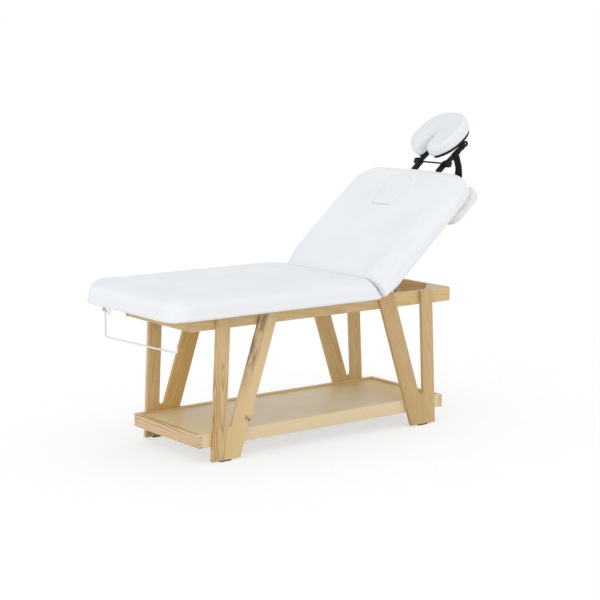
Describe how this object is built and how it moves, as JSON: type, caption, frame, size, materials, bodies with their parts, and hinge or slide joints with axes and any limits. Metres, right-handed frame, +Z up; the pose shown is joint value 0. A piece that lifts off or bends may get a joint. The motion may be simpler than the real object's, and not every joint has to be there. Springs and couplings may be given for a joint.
{
  "type": "massage table",
  "caption": "Wooden massage table with storage shelf, padded top, raised backrest on a notched prop, tilting face cradle, slung armrest and wire roll holder.",
  "frame": {"origin": "on the floor, at the middle of the table's overall length and width", "axes": "+X towards the head end, +Y towards the side away from the viewer, +Z up"},
  "size_m": [1.8808, 0.76, 1.4115],
  "materials": {
    "light_wood": "clear satin lacquer",
    "panel_wood": "clear satin lacquer",
    "white_cover": "smooth coated upholstery fabric over foam",
    "black_metal": "black satin paint",
    "black_plastic": "matt",
    "white_metal": "white gloss paint",
    "steel": "plain",
    "black_webbing": "woven webbing"
  },
  "bodies": {
    "frame": {"centre_cross_rail": "light_wood", "corner_gussets": "light_wood", "foot_board": "panel_wood", "foot_glides": "black_plastic", "foot_pad": "white_cover", "foot_rail": "light_wood", "head_rail": "light_wood", "hinge_leaves_foot": "steel", "hinge_pins": "steel", "leg_post_foot_far": "light_wood", "leg_post_foot_near": "light_wood", "leg_post_head_far": "light_wood", "leg_post_head_near": "light_wood", "leg_strut_foot_far": "light_wood", "leg_strut_foot_near": "light_wood", "leg_strut_head_far": "light_wood", "leg_strut_head_near": "light_wood", "long_rail_far": "light_wood", "long_rail_near": "light_wood", "prop_rack_far": "light_wood", "prop_rack_near": "light_wood", "roll_bracket": "white_metal", "roll_screws": "white_metal", "shelf_cleats": "light_wood", "shelf_panel": "panel_wood", "shelf_rail_far": "light_wood", "shelf_rail_foot": "light_wood", "shelf_rail_head": "light_wood", "shelf_rail_near": "light_wood"},
    "backrest": {"backrest_board": "panel_wood", "backrest_pad": "white_cover", "hinge_leaves_back": "steel", "cradle_sockets": "light_wood", "prop_brackets": "steel", "prop_pins": "steel", "armrest_webbing": "black_webbing"},
    "prop": {"prop_bail": "steel"},
    "cradle": {"cradle_posts": "black_metal", "cradle_cross_rod": "black_metal"},
    "cradle_arms": {"cradle_arm_near": "black_metal", "cradle_arm_far": "black_metal", "armrest_strap": "black_webbing"},
    "platform": {"platform_plate": "black_plastic", "platform_lugs": "black_metal", "platform_rivets": "black_metal"},
    "face_cushion": {"face_cushion": "white_cover"},
    "knob_near": {"knob_near": "black_plastic"},
    "knob_far": {"knob_far": "black_plastic"},
    "face_plug": {"face_plug": "white_cover", "face_plug_board": "panel_wood"},
    "armrest": {"armrest_board": "panel_wood", "armrest_pad": "white_cover"},
    "roll_holder": {"roll_wire": "white_metal"}
  },
  "joints": [
    {"name": "backrest_hinge", "type": "hinge", "parent": "frame", "child": "backrest", "pos_m": [0.17005, 0, 0.64], "axis": [0, -1, 0], "range_deg": [-41.4, 3.6]},
    {"name": "prop_hinge", "type": "hinge", "parent": "backrest", "child": "prop", "pos_m": [0.31615, 0, 0.73633], "axis": [0, -1, 0], "range_deg": [-7.3, 82.9]},
    {"name": "cradle_slide", "type": "slide", "parent": "backrest", "child": "cradle", "axis": [0.7501, 0, 0.6613], "range_m": [-0.018, 0.055], "deforming": ["armrest_strap"]},
    {"name": "cradle_arm_tilt", "type": "hinge", "parent": "cradle", "child": "cradle_arms", "pos_m": [0.76904, 0, 1.18541], "axis": [0, -1, 0], "range_deg": [-30, 10], "deforming": ["armrest_strap"]},
    {"name": "platform_tilt", "type": "hinge", "parent": "cradle_arms", "child": "platform", "pos_m": [0.87033, 0, 1.26036], "axis": [0, -1, 0], "range_deg": [-35, 4]},
    {"name": "face_cushion_lift", "type": "slide", "parent": "platform", "child": "face_cushion", "axis": [-0.5878, 0, 0.809], "range_m": [0, 0.15]},
    {"name": "knob_near_turn", "type": "hinge", "parent": "cradle", "child": "knob_near", "pos_m": [0.76904, 0, 1.18541], "axis": [0, 1, 0], "range_deg": [-180, 180]},
    {"name": "knob_far_turn", "type": "hinge", "parent": "cradle", "child": "knob_far", "pos_m": [0.76904, 0, 1.18541], "axis": [0, 1, 0], "range_deg": [-180, 180]},
    {"name": "face_plug_lift", "type": "slide", "parent": "backrest", "child": "face_plug", "axis": [-0.6613, 0, 0.7501], "range_m": [0, 0.12]},
    {"name": "armrest_swing", "type": "hinge", "parent": "backrest", "child": "armrest", "pos_m": [0.6068, 0, 0.95466], "axis": [0, -1, 0], "range_deg": [0, 8], "deforming": ["armrest_strap"]},
    {"name": "roll_holder_swivel", "type": "hinge", "parent": "frame", "child": "roll_holder", "pos_m": [-0.91895, 0.187, 0.56], "axis": [0, 0, 1], "range_deg": [-90, 80]}
  ],
  "couplings": [
    {"joint": "prop_hinge", "follows": "backrest_hinge", "ratio": -2}
  ]
}
